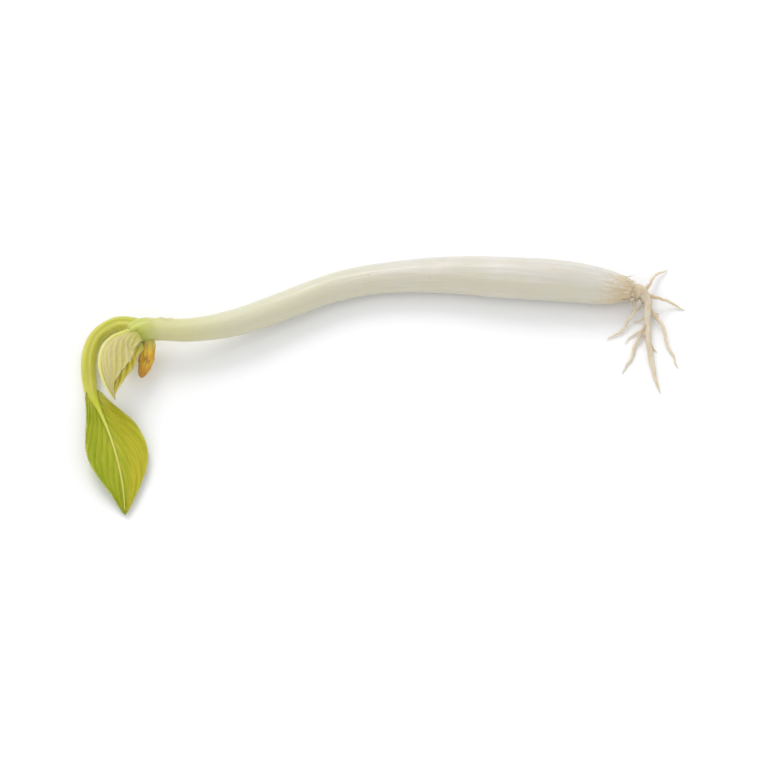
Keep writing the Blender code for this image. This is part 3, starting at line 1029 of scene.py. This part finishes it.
def make_outer_leaf():
    """The older leaf: a long arched stalk and a half-open blade."""
    stalk_skin = leaf_stalk_material("outer_stalk", OUTER_STALK_COLORS, OUTER_MIDRIB_RUN)
    blade_skin = leaf_blade_material("leaf_green", OUTER_BLADE_COLORS, OUTER_VEINS, OUTER_VEIN_SLANT, 0.3)
    make_leaf_stalk("outer", OUTER_STALK, OUTER_BLADE_RUN, stalk_skin, "leaf_green", "leaf_outer")
    shape = bent_plate(OUTER_BLADE_GRID, outer_surface)
    return mesh_object("outer_blade", shape, blade_skin, "leaf_green", "leaf_outer")


def make_inner_leaf():
    """The younger leaf: a short stalk and a blade still folded along its midrib."""
    stalk_skin = leaf_stalk_material("inner_stalk", INNER_STALK_COLORS, INNER_MIDRIB_RUN)
    blade_skin = leaf_blade_material("leaf_pale", INNER_BLADE_COLORS, INNER_VEINS, INNER_VEIN_SLANT, 0.05)
    make_leaf_stalk("inner", INNER_STALK, INNER_BLADE_RUN, stalk_skin, "leaf_pale", "leaf_inner")
    shape = bent_plate(INNER_BLADE_GRID, inner_surface)
    return mesh_object("inner_blade", shape, blade_skin, "leaf_pale", "leaf_inner")


def make_shoot_hairs(material):
    """Fine hairs on the stalks of the shoot and along the blades' margins."""
    random.seed(23)
    for label, limbs, surface, node_name, slot in (
        ("outer", [(OUTER_STALK, 0.02, 0.55)], outer_surface, "leaf_outer", "leaf_green"),
        (
            "inner", [(INNER_STALK, 0.02, 0.5), (STEM, NODE_SHARE, 0.97)],
            inner_surface, "leaf_inner", "leaf_pale",
        ),
    ):
        shape = bmesh.new()
        for limb, low, high in limbs:
            for _ in range(int(STALK_HAIRS_PER_MM * (limb.at(high)[5] - limb.at(low)[5]))):
                centre, forward, side, above, radius, _ = limb.at(random.uniform(low, high))
                angle = random.uniform(0, 2 * math.pi)
                outward = side * math.sin(angle) + above * math.cos(angle)
                lean = (outward + forward * random.uniform(0.1, 0.9)).normalized()
                root = centre + outward * radius * 0.95
                add_spike(shape, root, lean, random.uniform(0.2, 0.45), STALK_HAIR_RADIUS)
        for _ in range(MARGIN_HAIRS):
            edge = random.choice((-1, 1))
            along = random.uniform(0.06, 0.97)
            rim, _ = surface(edge, along)
            inside, _ = surface(edge * 0.9, along)
            tipward, _ = surface(edge, min(along + 0.02, 1.0))
            lean = ((rim - inside).normalized() + (tipward - rim).normalized() * 0.8).normalized()
            if (rim + lean * 0.3).z > 0.05:
                add_spike(shape, rim, lean, random.uniform(0.14, 0.3), MARGIN_HAIR_RADIUS)
        mesh_object(label + "_hairs", shape, material, slot, node_name)


# Stage


def aim(thing, place, target):
    """Put a light or the camera at a place and turn it to the target."""
    thing.location = place
    thing.rotation_euler = (Vector(target) - Vector(place)).to_track_quat("-Z", "Y").to_euler()
    bpy.context.scene.collection.objects.link(thing)


def make_floor():
    """A plain pale surface."""
    shape = bmesh.new()
    bmesh.ops.create_grid(shape, x_segments=2, y_segments=2, size=FLOOR_SIZE)
    mesh = bpy.data.meshes.new("floor")
    shape.to_mesh(mesh)
    shape.free()
    material = bpy.data.materials.new("floor_white")
    material.use_nodes = True
    skin = material.node_tree.nodes["Principled BSDF"].inputs
    skin["Base Color"].default_value = FLOOR_WHITE
    skin["Roughness"].default_value = 0.7
    skin["Specular IOR Level"].default_value = 0.2
    mesh.materials.append(material)
    floor = bpy.data.objects.new("floor", mesh)
    floor.location = (0, 0, FLOOR_HEIGHT)
    bpy.context.scene.collection.objects.link(floor)


def make_lights():
    """A bright white room, with soft daylight from behind and above."""
    room = bpy.data.worlds.new("white_room")
    room.use_nodes = True
    surround = room.node_tree.nodes["Background"].inputs
    surround["Color"].default_value = ROOM_WHITE
    surround["Strength"].default_value = ROOM_STRENGTH
    bpy.context.scene.world = room
    for name, place, spread, strength in SUNS:
        light = bpy.data.lights.new(name, "SUN")
        light.angle = math.radians(spread)
        light.energy = strength
        aim(bpy.data.objects.new(name, light), place, (0, 0, 0))


def make_camera():
    """The camera looks down at the sprout from the front."""
    lens = bpy.data.cameras.new("camera")
    lens.lens = CAMERA_LENS
    lens.sensor_width = CAMERA_SENSOR
    lens.clip_start = 0.01
    camera = bpy.data.objects.new("camera", lens)
    elevation = math.radians(CAMERA_ELEVATION)
    reach = Vector((0, -math.cos(elevation), math.sin(elevation))) * CAMERA_DISTANCE
    aim(camera, CAMERA_TARGET + reach, CAMERA_TARGET)
    bpy.context.scene.camera = camera


make_camera()
make_lights()
make_floor()
bpy.context.scene.view_settings.view_transform = "Standard"
bpy.context.scene.cycles.use_denoising = True

root_skin = root_skin_material()
hair = fine_hair_material()

make_stem()
make_collar_shreds(torn_skin_material())
make_roots(root_skin)
make_fine_rootlets(root_skin)
make_root_hairs(hair, [Limb(TAPROOT_STATIONS)] + [Limb(stations) for stations in ROOTLET_STATIONS])
make_end_bud()
make_withered_stub()
make_outer_leaf()
make_inner_leaf()
make_shoot_hairs(hair)
